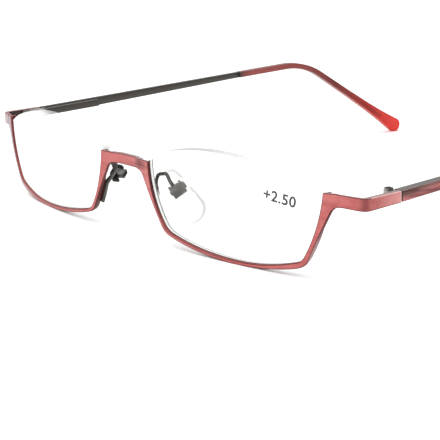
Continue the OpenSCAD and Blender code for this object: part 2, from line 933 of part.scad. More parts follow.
module left_rim() { color(paint_red) on_side(true) rim(); }
module right_rim() { color(paint_red) on_side(false) rim(); }
module left_end_piece() { color(paint_red) on_side(true) end_piece(); }
module right_end_piece() { color(paint_red) on_side(false) end_piece(); }
module left_lens() { color(lens_clear) on_side(true) lens(); }
module right_lens() { color(lens_clear) on_side(false) lens(); }
module left_pad_arm() { color(gunmetal) on_side(true) pad_arm(); }
module right_pad_arm() { color(gunmetal) on_side(false) pad_arm(); }
module left_pad_box() { color(gunmetal) on_side(true) at_pad() pad_box(); }
module right_pad_box() { color(gunmetal) on_side(false) at_pad() pad_box(); }
module left_nose_pad() { color(pad_clear) on_side(true) at_pad() nose_pad(); }
module right_nose_pad() { color(pad_clear) on_side(false) at_pad() nose_pad(); }
module left_pad_insert() { color(pad_clear) on_side(true) at_pad() pad_insert(); }
module right_pad_insert() { color(pad_clear) on_side(false) at_pad() pad_insert(); }
module left_pad_screw() { color(gunmetal) on_side(true) at_pad() pad_screw(); }
module right_pad_screw() { color(gunmetal) on_side(false) at_pad() pad_screw(); }
module left_hinge_leaf() { color(steel) on_side(true) at_hinge() hinge_leaf(); }
module right_hinge_leaf() { color(steel) on_side(false) at_hinge() hinge_leaf(); }
module left_hinge_screw() { color(gunmetal) on_side(true) at_hinge() hinge_screw(); }
module right_hinge_screw() { color(gunmetal) on_side(false) at_hinge() hinge_screw(); }
module left_hinge_slide() { color(steel) on_side(true) at_hinge() hinge_slide(); }
module right_hinge_slide() { color(steel) on_side(false) at_hinge() hinge_slide(); }
module left_spring_stop() { color(steel) on_side(true) at_hinge() spring_stop(); }
module right_spring_stop() { color(steel) on_side(false) at_hinge() spring_stop(); }
module left_hinge_spring() { color(steel) on_side(true) at_hinge() hinge_spring(); }
module right_hinge_spring() { color(steel) on_side(false) at_hinge() hinge_spring(); }
module left_spring_housing() { color(steel) on_side(true) at_hinge() spring_housing(); }
module right_spring_housing() { color(steel) on_side(false) at_hinge() spring_housing(); }
module left_temple() { color(gunmetal) on_side(true) at_hinge() temple(); }
module right_temple() { color(gunmetal) on_side(false) at_hinge() temple(); }
module left_temple_tip() { color(tip_red) on_side(true) at_hinge() temple_tip(); }
module right_temple_tip() { color(tip_red) on_side(false) at_hinge() temple_tip(); }

bridge();
left_rim();
right_rim();
left_end_piece();
right_end_piece();
left_lens();
right_lens();
left_pad_arm();
right_pad_arm();
left_pad_box();
right_pad_box();
left_nose_pad();
right_nose_pad();
left_pad_insert();
right_pad_insert();
left_pad_screw();
right_pad_screw();
left_hinge_leaf();
right_hinge_leaf();
left_hinge_screw();
right_hinge_screw();
left_hinge_slide();
right_hinge_slide();
left_spring_stop();
right_spring_stop();
left_hinge_spring();
right_hinge_spring();
left_spring_housing();
right_spring_housing();
left_temple();
right_temple();
left_temple_tip();
right_temple_tip();
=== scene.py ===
import math

import bmesh
import bpy
from mathutils import Matrix, Vector


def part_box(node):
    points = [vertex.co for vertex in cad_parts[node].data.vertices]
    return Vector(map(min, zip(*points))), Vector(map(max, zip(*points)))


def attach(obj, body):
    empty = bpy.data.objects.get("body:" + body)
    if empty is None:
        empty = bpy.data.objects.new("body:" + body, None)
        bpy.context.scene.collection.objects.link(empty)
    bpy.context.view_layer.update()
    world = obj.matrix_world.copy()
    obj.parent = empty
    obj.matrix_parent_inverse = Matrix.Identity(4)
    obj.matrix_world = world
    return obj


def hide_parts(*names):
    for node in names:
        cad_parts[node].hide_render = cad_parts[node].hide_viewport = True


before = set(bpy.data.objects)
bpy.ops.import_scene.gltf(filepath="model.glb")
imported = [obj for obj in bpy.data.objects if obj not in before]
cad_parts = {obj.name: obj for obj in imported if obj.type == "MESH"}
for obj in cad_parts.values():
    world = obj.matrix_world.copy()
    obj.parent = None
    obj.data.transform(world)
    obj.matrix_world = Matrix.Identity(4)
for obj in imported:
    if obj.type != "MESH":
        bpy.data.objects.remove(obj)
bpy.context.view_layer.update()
sideSigns = {"left": 1, "right": -1}  # the left side is the wearer's, at +X
mm = 0.001

# Camera, which looks from the wearer's front left and a little above

cameraView = {
    "place": (0.27648, -0.2886, 0.08458),
    "target": (0.01866, -0.06556, 0.00529),
    "rollDegrees": 1.13,
    "lens": 127.66,
    "sensor": 36,
    "clipFrom": 0.01,
}


def makeCamera(view):
    data = bpy.data.cameras.new("viewCamera")
    data.lens = view["lens"]
    data.sensor_width = view["sensor"]
    data.clip_start = view["clipFrom"]
    camera = bpy.data.objects.new("viewCamera", data)
    bpy.context.scene.collection.objects.link(camera)
    place = Vector(view["place"])
    aim = (Vector(view["target"]) - place).to_track_quat("-Z", "Y").to_matrix().to_4x4()
    roll = Matrix.Rotation(math.radians(view["rollDegrees"]), 4, "Z")
    camera.matrix_world = Matrix.Translation(place) @ aim @ roll
    bpy.context.scene.camera = camera


makeCamera(cameraView)
bpy.context.scene.view_settings.view_transform = "Standard"
print("camera placed")

# Shader writing


class Sock:
    # One value in a shader: sums on it add Math nodes

    def __init__(self, finish, socket):
        self.finish = finish
        self.socket = socket

    def sum(self, operation, first, second):
        return self.finish.node("Math", {"operation": operation}, {0: first, 1: second})

    def __add__(self, other):
        return self.sum("ADD", self, other)

    def __radd__(self, other):
        return self.sum("ADD", other, self)

    def __sub__(self, other):
        return self.sum("SUBTRACT", self, other)

    def __mul__(self, other):
        return self.sum("MULTIPLY", self, other)

    def __rmul__(self, other):
        return self.sum("MULTIPLY", other, self)


class Finish:
    # One material and its nodes

    def __init__(self, name):
        self.material = bpy.data.materials.new(name)
        self.material.use_nodes = True
        self.tree = self.material.node_tree
        self.tree.nodes.clear()

    def node(self, kind, settings=None, inputs=None, output=0):
        made = self.tree.nodes.new("ShaderNode" + kind)
        for name, value in (settings or {}).items():
            if name == "stops":
                self.setStops(made.color_ramp, value)
            else:
                setattr(made, name, value)
        for name, value in (inputs or {}).items():
            socket = made.inputs[name]
            if isinstance(value, Sock):
                self.tree.links.new(value.socket, socket)
            else:
                socket.default_value = value
        return Sock(self, made.outputs[output]) if len(made.outputs) else None

    def setStops(self, ramp, stops):
        while len(ramp.elements) < len(stops):
            ramp.elements.new(1)
        for element, (place, level) in zip(ramp.elements, stops):
            element.position = place
            element.color = level if hasattr(level, "__len__") else (level, level, level, 1)

    def coords(self):
        return self.node("TexCoord", output="Object")

    def grain(self, scale, stretch=(1, 1, 1), turn=(0, 0, 0), detail=3, roughness=0.5):
        place = self.node("Mapping", {}, {"Vector": self.coords(), "Scale": stretch, "Rotation": turn})
        return self.node(
            "TexNoise", {}, {"Vector": place, "Scale": scale, "Detail": detail, "Roughness": roughness}
        )

    def ramp(self, factor, stops):
        return self.node("ValToRGB", {"stops": stops}, {"Fac": factor})

    def mixed(self, factor, first, second):
        return self.node("Mix", {"data_type": "RGBA"}, {0: factor, 6: first, 7: second}, output=2)

    def part(self, name):
        return self.node("Attribute", {"attribute_name": name}, output="Fac")

    def facing(self):
        # 0 where the surface looks straight at the eye and 1 where it is seen edge on
        return self.node("LayerWeight", {}, {"Blend": 0.5}, output="Facing")

    def axis(self, letter):
        return self.node("SeparateXYZ", {}, {0: self.coords()}, output=letter)

    def bump(self, height, strength, distance):
        return self.node("Bump", {}, {"Height": height, "Strength": strength, "Distance": distance})

    def shader(self, **values):
        inputs = {name.replace("_", " "): value for name, value in values.items()}
        return self.node("BsdfPrincipled", {}, inputs)

    def output(self, shader):
        self.node("OutputMaterial", {}, {"Surface": shader})
        return self.material

    def surface(self, **values):
        return self.output(self.shader(**values))


def shade(red, green, blue):
    # A colour from the 0 to 255 values that a screen shows
    levels = [level / 255 for level in (red, green, blue)]
    return tuple(((v + 0.055) / 1.055) ** 2.4 if v > 0.04 else v / 12.92 for v in levels) + (1,)


# Finishes

frontPaint = {
    "face": shade(178, 92, 90),
    "faceLight": shade(194, 118, 116),
    # Colour of the painted light on the hinge arm behind the elbow
    "glow": shade(222, 158, 156),
    "faceDeep": shade(146, 62, 60),
    "line": shade(96, 40, 40),
    "pale": shade(240, 204, 200),
    # Colour of the painted sheen on faces seen aslant on the wearer's right
    "haze": shade(168, 152, 160),
    # Wall colours: the dark one is partly the metal's own tone and partly painted shade, the lighter ones
    # are painted light
    "wallDark": shade(66, 24, 24),
    "wallUpLit": shade(162, 86, 84),
    "wallLit": shade(176, 150, 152),
    "bare": shade(50, 48, 47),
    # Colour of the painted dark reflection on the bridge
    "smear": shade(66, 28, 26),
    "cloudGrain": {"scale": 60, "detail": 2},
    "brushGrain": {"scale": 700, "stretch": (0.08, 1, 1), "detail": 3, "roughness": 0.6},
    "flakeGrain": {"scale": 5200, "detail": 1},
    "cloudStops": [(0.35, 0.0), (0.7, 1.0)],
    "brushStops": [(0.45, 0.0), (0.8, 0.8)],
    "farPerMetre": -20,
    "farStops": [(0.6, 0.0), (1.0, 1.0)],  # from 30 to 50 mm out on the wearer's right
    "aslantStops": [(0.6, 0.0), (0.78, 0.9)],
    "bumpHeight": 0.04 * mm,
    "reflectionAt": 5.4 * mm,
    "reflectionReach": 2.5 * mm,
    "reflectionLow": 15.9 * mm,
    "reflectionHigh": 2.6 * mm,
    "reflectionGrain": {"scale": 900, "stretch": (0.2, 1, 1), "turn": (0, 0.3, 0), "detail": 2},
    "reflectionStops": [(0.1, 0.85), (1.0, 0.0)],
    "strokes": [(0.08, 0.1), (0.24, 0.6), (0.38, 0.3), (0.54, 1.0), (0.66, 0.4), (0.8, 1.0), (0.92, 0.1)],
}


def bridgeReflection(finish, recipe):
    # A painted dark reflection in three strokes, over the joint of the bridge and the left rim
    across = (finish.axis("X") - recipe["reflectionAt"]) * (1 / recipe["reflectionReach"])
    height = (finish.axis("Z") - recipe["reflectionLow"]) * (1 / recipe["reflectionHigh"])
    ragged = finish.grain(**recipe["reflectionGrain"])
    strokes = finish.ramp(height + ragged * 0.06 - 0.03, recipe["strokes"])
    return strokes * finish.ramp(across * across + ragged * 0.3 - 0.15, recipe["reflectionStops"])


def makeFrontPaint(name, recipe):
    finish = Finish(name)
    cloud = finish.grain(**recipe["cloudGrain"])
    brush = finish.grain(**recipe["brushGrain"])
    flake = finish.grain(**recipe["flakeGrain"])
    # Painted light on the wearer's right, 30 to 50 mm out: a sheen on faces seen aslant, and lighter walls
    paintedLightFarSide = finish.ramp(finish.axis("X") * recipe["farPerMetre"], recipe["farStops"])
    aslant = paintedLightFarSide * finish.ramp(finish.facing(), recipe["aslantStops"])
    painted = finish.mixed(finish.ramp(cloud, recipe["cloudStops"]), recipe["face"], recipe["faceLight"])
    painted = finish.mixed(finish.ramp(brush, recipe["brushStops"]), painted, recipe["faceDeep"])
    # Painted light: the hinge arm behind the elbow is lighter
    painted = finish.mixed(finish.part("glow") * (0.4 + 0.5 * cloud), painted, recipe["glow"])
    # Painted shade around the elbow of the end bars
    painted = finish.mixed(finish.part("bend") * 0.6, painted, recipe["line"])
    # Painted sheen where the far faces are seen aslant
    painted = finish.mixed(aslant, painted, recipe["haze"])
    # Painted reflection: dark strokes over the bridge's joint with the left rim
    painted = finish.mixed(bridgeReflection(finish, recipe), painted, recipe["smear"])
    # Walls are dark, partly their own tone and partly painted shade in the lens groove; lit, up and the far
    # side paint light onto them
    walls = finish.mixed(finish.part("lit"), recipe["wallDark"], recipe["wallLit"])
    walls = finish.mixed(finish.part("up") * 0.8 + paintedLightFarSide * 0.5, walls, recipe["wallUpLit"])
    walls = finish.mixed(brush * 0.2, walls, recipe["face"])
    walls = finish.mixed(finish.part("bare"), walls, recipe["bare"])
    colour = finish.mixed(finish.part("face"), walls, painted)
    colour = finish.mixed(finish.part("line") * 0.9, colour, recipe["line"])
    # Painted highlight on the hinge arm's top and rear edges
    colour = finish.mixed(finish.part("pale"), colour, recipe["pale"])
    return finish.surface(
        Base_Color=colour,
        Metallic=0.75,
        Roughness=0.34 + 0.16 * brush + 0.08 * flake,
        Normal=finish.bump(brush + 0.5 * flake, 0.12, recipe["bumpHeight"]),
        Coat_Weight=0.12,
        Coat_Roughness=0.3,
    )


templePaint = {
    "side": shade(60, 57, 54),
    "sideLight": shade(78, 74, 70),
    "top": shade(90, 87, 84),
    "topLight": shade(118, 113, 109),
    "mauve": shade(177, 108, 108),
    "wine": shade(92, 50, 52),
    "taupe": shade(104, 90, 80),
    # Colour of the painted highlight on the temple's rounded edges
    "pale": shade(214, 172, 170),
    "streakGrain": {
        "scale": 150, "stretch": (1, 0.3, 1.6), "turn": (0.6, 0, 0), "detail": 4, "roughness": 0.62,
    },
    "fineGrain": {
        "scale": 620, "stretch": (1, 0.16, 1.4), "turn": (0.42, 0, 0), "detail": 3, "roughness": 0.6,
    },
    "brushGrain": {"scale": 1500, "stretch": (1, 0.05, 1), "detail": 2},
    "redStops": [(0.62, 0.0), (0.92, 1.0)],
    "fineStops": [(0.4, 0.0), (0.6, 0.8)],
    "lowStops": [(0.84, 0.0), (0.95, 0.25)],
    "bumpHeight": 0.04 * mm,
}


def makeTemplePaint(name, recipe):
    finish = Finish(name)
    # Red grows downwards and towards the tip, in streaks
    streak = finish.grain(**recipe["streakGrain"])
    fine = finish.grain(**recipe["fineGrain"])
    brush = finish.grain(**recipe["brushGrain"])
    low = finish.part("low")
    red = finish.ramp(low * 0.42 + streak * 1.1 + finish.part("along") * 0.5, recipe["redStops"])
    side = finish.mixed(brush, recipe["side"], recipe["sideLight"])
    top = finish.mixed(brush, recipe["top"], recipe["topLight"])
    outer = finish.mixed(red, recipe["taupe"], recipe["mauve"])
    outer = finish.mixed(finish.ramp(fine, recipe["fineStops"]), outer, recipe["wine"])
    outer = finish.mixed(finish.ramp(low, recipe["lowStops"]), outer, recipe["wine"])
    # Painted highlight on the rounded edges near the hinge end
    outer = finish.mixed(finish.part("pale"), outer, recipe["pale"])
    # Painted light: the tops are lighter than the sides
    bare = finish.mixed(finish.part("top"), side, top)
    return finish.surface(
        Base_Color=finish.mixed(finish.part("face"), bare, outer),
        Metallic=0.8,
        Roughness=0.3 + 0.2 * brush,
        Normal=finish.bump(brush, 0.15, recipe["bumpHeight"]),
        Coat_Weight=0.1,
        Coat_Roughness=0.25,
    )


steelShades = {
    "brushedSteel": {"dark": shade(120, 118, 114), "light": shade(176, 174, 170), "rough": 0.26},
    "darkSteel": {"dark": shade(56, 55, 52), "light": shade(92, 90, 87), "rough": 0.34},
    "castSteel": {"dark": shade(86, 85, 82), "light": shade(122, 120, 116), "rough": 0.38},
    # A darker copy of the steel, as painted shade on the far pad's box and screw
    "inkSteel": {"dark": shade(18, 18, 18), "light": shade(48, 44, 43), "rough": 0.45},
    # Near black steel for the painted shade in the hinge screw heads
    "blackSteel": {"dark": shade(16, 16, 15), "light": shade(36, 35, 34), "rough": 0.5},
}
steelGrain = {
    "brush": {"scale": 1400, "stretch": (1, 0.2, 1), "detail": 3},
    "worn": {"scale": 260, "detail": 4},
    "wornStops": [(0.42, 0.0), (0.62, 1.0)],
    "bumpHeight": 0.03 * mm,
}


def makeSteel(name, recipe):
    finish = Finish(name)
    brush = finish.grain(**steelGrain["brush"])
    worn = finish.ramp(finish.grain(**steelGrain["worn"]), steelGrain["wornStops"])
    return finish.surface(
        Base_Color=finish.mixed(worn, recipe["dark"], recipe["light"]),
        Metallic=0.9,
        Roughness=recipe["rough"] + 0.18 * brush,
        Normal=finish.bump(brush, 0.1, steelGrain["bumpHeight"]),
    )


lensFinish = {
    "clear": shade(255, 255, 255),
    "veilStops": [(0.48, 0.0), (0.78, 0.95)],
    "dustGrain": {"scale": 700, "detail": 5},
    "dustStops": [(0.5, 0.0), (0.85, 1.0)],
    "polishGrain": {"scale": 900, "stretch": (0.3, 1, 0.3), "detail": 3},
    "wallStops": [
        (0.26, shade(250, 252, 250)),
        (0.32, shade(108, 114, 110)),
        (0.38, shade(108, 114, 110)),
        (0.43, shade(250, 252, 250)),
    ],
    "wallAlpha": [(0.0, 0.95), (0.28, 0.95), (0.38, 0.8), (0.44, 0.0)],
    "coverStops": [(0.38, 0.0), (0.44, 0.95), (0.8, 0.95), (0.9, 0.0)],
    "crown": shade(164, 167, 165),
    "crownFaded": shade(226, 228, 226),
}


def makeLensClear(name, recipe):
    # Painted reflection: the lens whitens where it is seen aslant
    finish = Finish(name)
    veil = finish.ramp(finish.facing(), recipe["veilStops"])
    dust = finish.ramp(finish.grain(**recipe["dustGrain"]), recipe["dustStops"])
    return finish.surface(
        Base_Color=recipe["clear"],
        Roughness=0.7 + 0.1 * dust,
        Alpha=0.01 + 0.01 * dust + veil,
    )


def makeLensWall(name, recipe):
    # The wall in the groove looks half as deep as it is, and a grey line shows its far edge
    # Where it is marked as cover, it hides what is behind it down to nearly its full depth
    finish = Finish(name)
    depth = finish.part("depth")
    polish = finish.grain(**recipe["polishGrain"])
    covered = finish.part("cover") * finish.ramp(depth, recipe["coverStops"])
    return finish.surface(
        Base_Color=finish.ramp(depth, recipe["wallStops"]),
        Roughness=0.25 + 0.3 * polish,
        Alpha=finish.ramp(depth, recipe["wallAlpha"]) + covered,
    )


def makeLensCrown(name, recipe):
    # The bare top edge is grey, and turns white and clear where it is marked to fade
    finish = Finish(name)
    polish = finish.grain(**recipe["polishGrain"])
    fade = finish.part("fade")
    return finish.surface(
        Base_Color=finish.mixed(fade, recipe["crown"], recipe["crownFaded"]),
        Roughness=0.35 + 0.3 * polish,
        Alpha=0.83 + 0.05 * polish - 0.8 * fade,
    )


padFinish = {
    "soft": shade(128, 132, 130),
    "core": shade(206, 208, 208),
    "rimStops": [(0.3, 0.0), (0.72, 0.5), (1.0, 0.42)],
    "cloudGrain": {"scale": 420, "detail": 3},
    "flowGrain": {"scale": 900, "detail": 2},
    "bumpHeight": 0.05 * mm,
}


def makePadClear(name, recipe):
    # Clear, with a grey line where its outline bends the light
    finish = Finish(name)
    cloud = finish.grain(**recipe["cloudGrain"])
    line = finish.part("shown") * finish.ramp(finish.part("rim"), recipe["rimStops"])
    return finish.surface(
        Base_Color=recipe["soft"],
        Roughness=0.22 + 0.2 * cloud,
        Alpha=0.01 + 0.02 * cloud + line,
        Normal=finish.bump(cloud, 0.1, recipe["bumpHeight"]),
    )


def makePadCore(name, recipe):
    finish = Finish(name)
    flow = finish.grain(**recipe["flowGrain"])
    return finish.surface(
        Base_Color=recipe["core"],
        Roughness=0.12 + 0.1 * flow,
        Alpha=0.01 + 0.02 * flow,
    )


tipAcetate = {
    "stops": [
        (0.0, shade(62, 54, 48)),
        (0.03, shade(124, 66, 64)),
        (0.08, shade(146, 74, 70)),
        (0.35, shade(138, 68, 64)),
        (0.57, shade(108, 44, 40)),
        (0.68, shade(142, 50, 44)),
        (0.8, shade(166, 48, 42)),
        (0.95, shade(222, 80, 72)),
    ],
    # Colours for the painted shade and highlight along the tip's edges
    "edgeStops": [
        (0.0, shade(110, 64, 60)),
        (0.45, shade(122, 60, 56)),
        (0.7, shade(178, 82, 76)),
        (0.85, shade(196, 84, 76)),
    ],
    "clear": shade(238, 116, 106),
    "clearStops": [(0.55, 0.97), (0.92, 0.5)],
    "aslantStops": [(0.35, 0.0), (0.75, 0.9)],
    "cloudGrain": {"scale": 120, "stretch": (1, 0.5, 1), "detail": 4},
}


def makeTipAcetate(name, recipe):
    # Red plastic that lets the metal core show, more so towards its end
    finish = Finish(name)
    cloud = finish.grain(**recipe["cloudGrain"])
    end = finish.part("along")
    middle = finish.ramp(end + cloud * 0.06 - 0.03, recipe["stops"])
    # Painted shade and highlight along the edges seen aslant
    edges = finish.ramp(finish.facing(), recipe["aslantStops"])
    skin = finish.shader(
        Base_Color=finish.mixed(edges, middle, finish.ramp(end, recipe["edgeStops"])),
        Roughness=0.22 + 0.12 * cloud,
        Specular_IOR_Level=0.25,
    )
    through = finish.node("BsdfTransparent", {}, {"Color": recipe["clear"]})
    cover = finish.ramp(end, recipe["clearStops"])
    return finish.output(finish.node("MixShader", {}, {0: cover, 1: through, 2: skin}))


printInk = {
    "dark": shade(34, 36, 34),
    "worn": shade(62, 64, 62),
    "wornGrain": {"scale": 2600, "detail": 3},
    "wornStops": [(0.3, 0.0), (0.7, 1.0)],
}


def makePrintInk(name, recipe):
    finish = Finish(name)
    worn = finish.ramp(finish.grain(**recipe["wornGrain"]), recipe["wornStops"])
    return finish.surface(
        Base_Color=finish.mixed(worn, recipe["dark"], recipe["worn"]),
        Roughness=0.5 + 0.1 * worn,
    )


finishes = {
    "frontPaint": makeFrontPaint("frontPaint", frontPaint),
    "templePaint": makeTemplePaint("templePaint", templePaint),
    "steel": makeSteel("brushedSteel", steelShades["brushedSteel"]),
    "darkSteel": makeSteel("darkSteel", steelShades["darkSteel"]),
    "castSteel": makeSteel("castSteel", steelShades["castSteel"]),
    "inkSteel": makeSteel("inkSteel", steelShades["inkSteel"]),
    "blackSteel": makeSteel("blackSteel", steelShades["blackSteel"]),
    "lensClear": makeLensClear("lensClear", lensFinish),
    "lensWall": makeLensWall("lensWall", lensFinish),
    "lensCrown": makeLensCrown("lensCrown", lensFinish),
    "padClear": makePadClear("padClear", padFinish),
    "padCore": makePadCore("padCore", padFinish),
    "tipAcetate": makeTipAcetate("tipAcetate", tipAcetate),
    "printInk": makePrintInk("printInk", printInk),
}
print("finishes made")

# Shaping of the pieces

copyShape = {"merge": 0.03 * mm, "snap": 0.05 * mm, "flatDegrees": 0.6}


def limited(value):
    # Keeps a value from 0 to 1
    return min(max(value, 0), 1)


def between(value, start, end):
    # 0 up to the start and 1 from the end on, and a straight rise from one to the other
    return limited((value - start) / (end - start))


def openCopy(node, joints=()):
    # The CAD node's own solid with its loose triangles joined, ready to be worked on
    shape = bmesh.new()
    shape.from_mesh(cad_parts[node].data)
    for vert in shape.verts:
        for joint in joints:
            if abs(abs(vert.co.x) - joint) < copyShape["snap"]:
                vert.co.x = math.copysign(joint, vert.co.x)
    bmesh.ops.remove_doubles(shape, verts=shape.verts, dist=copyShape["merge"])
    flat = math.radians(copyShape["flatDegrees"])
    bmesh.ops.dissolve_limit(
        shape, angle_limit=flat, verts=shape.verts, edges=shape.edges, delimit={"NORMAL"}
    )
    return shape


def sharpEdges(shape, degrees, keep):
    limit = math.radians(degrees)
    sharp = [e for e in shape.edges if len(e.link_faces) == 2 and e.calc_face_angle(0) > limit]
    return [e for e in sharp if not keep(e)]


def soften(shape, width, degrees=35, segments=2, keep=lambda edge: False, clamp=True):
    # Rounds the sharp edges, and gives back the new faces
    made = bmesh.ops.bevel(
        shape, geom=sharpEdges(shape, degrees, keep), offset=width, offset_type="OFFSET", affect="EDGES",
        segments=segments, profile=0.5, material=-1, clamp_overlap=clamp,
    )
    return set(made["faces"])


def markFaces(shape, name, rule):
    # Writes a value from 0 to 1 on every face, for the finish to read
    layer = shape.loops.layers.float_color.new(name)
    for face in shape.faces:
        for loop in face.loops:
            value = rule(face, loop.vert.co)
            loop[layer] = (value, value, value, 1)


def finishPiece(shape, name, materials, body, node=None, smoothDegrees=30, normalRule=None):
    normals = []
    if normalRule:
        normals = [normalRule(face, loop.vert.co) for face in shape.faces for loop in face.loops]
    data = bpy.data.meshes.new(name)
    shape.to_mesh(data)
    shape.free()
    piece = bpy.data.objects.new(name, data)
    bpy.context.scene.collection.objects.link(piece)
    for key in materials:
        data.materials.append(finishes[key])
    data.shade_smooth()
    data.set_sharp_from_angle(angle=math.radians(smoothDegrees))
    if normals:
        data.normals_split_custom_set(normals)
    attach(piece, body)
    if node:
        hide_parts(node)


# The ball that the rims and lenses follow

ballShape = {"middle": (16.5 * mm, 37.13 * mm, 22.191 * mm), "lensFront": 115.35 * mm, "along": 0.998}


def ballMiddle(sign):
    x, y, z = ballShape["middle"]
    return Vector((x * sign, y, z))


def ballNormal(sign):
    # Exact normals for the facets that lie on the ball, and the mesh's own elsewhere
    middle = ballMiddle(sign)

    def rule(face, place):
        outward = (place - middle).normalized()
        level = face.normal.dot(outward)
        if abs(level) <= ballShape["along"]:
            return Vector()
        return outward if level > 0 else -outward

    return rule


# Front: rims, bridge and end pieces

frontShape = {
    "edge": 0.05 * mm,
    "outline": 0.17 * mm,
    "joints": (5.36 * mm, 59.75 * mm),  # where the rims meet the bridge and the end bars
    "jointGap": 0.02 * mm,
    "faceTilt": 0.65,
    "lineTilt": 0.3,
    "sideTilt": 0.4,
    "topTilt": 0.45,
    "paleTilt": 0.5,
    "upTilt": (0.3, 0.6),
    "elbow": (65.72 * mm, -67.92 * mm),
    "elbowFlat": 0.35 * mm,
    "elbowReach": 0.9 * mm,
    "paleFrom": -65.9 * mm,
    "paintedArmLightReach": 1.5 * mm,
    "outerWallFrom": 45 * mm,
    "outerLit": 0.8,
    "outerLitBelow": 11 * mm,
    "outerLitFade": 4 * mm,
    "topLit": 0.9,
    "topFrom": 17.2 * mm,
    "bareLevel": 0.9,
}
tones = {"wall": 0, "face": 1, "line": 2, "pale": 3}


def atJoint(edge):
    # Edges where two pieces of the front meet stay sharp
    places = [abs(vert.co.x) for vert in edge.verts]
    gap = frontShape["jointGap"]
    return any(all(abs(x - joint) < gap for x in places) for joint in frontShape["joints"])


def hump(distance, reach):
    return math.exp(-((distance / reach) ** 2))


def outlineTone(face, painted, recipe):
    # The paint is darker along its outline, and has a painted highlight on top of the hinge arm
    for edge in face.edges:
        if atJoint(edge):
            return tones["face"]
        walls = [other for other in edge.link_faces if other not in painted]
        if walls and face.calc_center_median().y > recipe["paleFrom"]:
            if max(walls[0].normal.z, walls[0].normal.y) > recipe["paleTilt"]:
                return tones["pale"]
    return tones["line"]


def dressFront(node, name, recipe, bend, outSign=0):
    shape = openCopy(node, recipe["joints"])
    painted = [f for f in shape.faces if max(-f.normal.y, f.normal.x * outSign) > recipe["faceTilt"]]
    for face in shape.faces:
        face.material_index = tones["wall"]
    for face in painted:
        face.material_index = tones["face"]
    made = bmesh.ops.inset_region(
        shape, faces=painted, thickness=recipe["outline"], depth=0, use_even_offset=True, use_boundary=True
    )
    wholePaint = set(painted) | set(made["faces"])
    for face in made["faces"]:
        face.material_index = outlineTone(face, wholePaint, recipe)
    rounds = soften(shape, recipe["edge"], keep=atJoint, clamp=False)
    for face in rounds:
        if face.material_index in (tones["wall"], tones["face"]):
            face.material_index = tones["line"] if -face.normal.y > recipe["lineTilt"] else tones["wall"]

    # Painted light on the outer side walls towards their lower part, and on the top walls
    def lit(face, place):
        outward = face.normal.x * math.copysign(1, place.x)
        if abs(place.x) > recipe["outerWallFrom"] and outward > recipe["sideTilt"]:
            below = recipe["outerLitBelow"]
            return recipe["outerLit"] * between(place.z, below, below - recipe["outerLitFade"])
        onTop = face.normal.z > recipe["topTilt"] and place.z > recipe["topFrom"]
        return recipe["topLit"] if onTop else 0.0

    # Painted light on the walls that face upwards, below the tops
    def up(face, place):
        return between(face.normal.z, *recipe["upTilt"]) if place.z < recipe["topFrom"] else 0.0

    def bare(face, place):
        # The inner sides of the end bars keep the dark metal's look
        away = max(face.normal.y, -face.normal.x * outSign) > recipe["sideTilt"]
        inner = outSign and away and face.material_index == tones["wall"]
        return recipe["bareLevel"] if inner else 0.0

    # Painted light on the hinge arm, from just behind the elbow back
    def glow(face, place):
        return between(place.y, recipe["paleFrom"], recipe["paleFrom"] + recipe["paintedArmLightReach"])

    def toned(tone):
        return lambda face, place: 1.0 if face.material_index == tones[tone] else 0.0

    for label in ("face", "line", "pale"):
        markFaces(shape, label, toned(label))
    for label, rule in (("lit", lit), ("bend", bend), ("glow", glow), ("bare", bare), ("up", up)):
        markFaces(shape, label, rule)
    for face in shape.faces:
        face.material_index = 0
    rule = ballNormal(1 if "left" in node else -1) if "rim" in node else None
    finishPiece(shape, name, ["frontPaint"], "front", node, normalRule=rule)


# Painted shade around the elbow, fading over about a millimetre
def elbowShade(face, place):
    x, y = frontShape["elbow"]
    away = math.hypot(abs(place.x) - x, place.y - y)
    return hump(max(away - frontShape["elbowFlat"], 0), frontShape["elbowReach"])


def noShade(face, place):
    return 0.0


dressFront("bridge", "frontBridge", frontShape, noShade)
for side, sign in sideSigns.items():
    dressFront(side + "_rim", side + "RimFace", frontShape, noShade)
    dressFront(side + "_end_piece", side + "EndBar", frontShape, elbowShade, sign)
print("front dressed")

# Lenses

lensShape = {
    "chamfer": 0.12 * mm,
    "thick": 2.2 * mm,
    "faceTilt": 0.97,
    "crownTilt": 0.45,
    "crownFrom": 17.6 * mm,
    "fade": (27 * mm, 62 * mm),  # out along the near lens
    "noseFade": (15 * mm, 9 * mm),  # in towards the nose
    "noseShare": 0.85,
    "block": (18.9 * mm, 19.9 * mm),  # upwards, beside the nose on the far lens
    "blockReach": 12 * mm,
    "blockShare": 0.3,
    "cover": (12 * mm, 10.5 * mm),  # downwards, beside the nose on the near lens
    "coverReach": 16 * mm,
}


def lensMaterial(face, middle, recipe):
    # 0 is a clear face of the lens, 1 the wall in the groove and 2 the bare top edge
    centre = face.calc_center_median()
    if abs(face.normal.dot((centre - middle).normalized())) > recipe["faceTilt"]:
        return 0
    onCrown = face.normal.z > recipe["crownTilt"] or -recipe["blockReach"] < centre.x < 0
    return 2 if centre.z > recipe["crownFrom"] and onCrown else 1


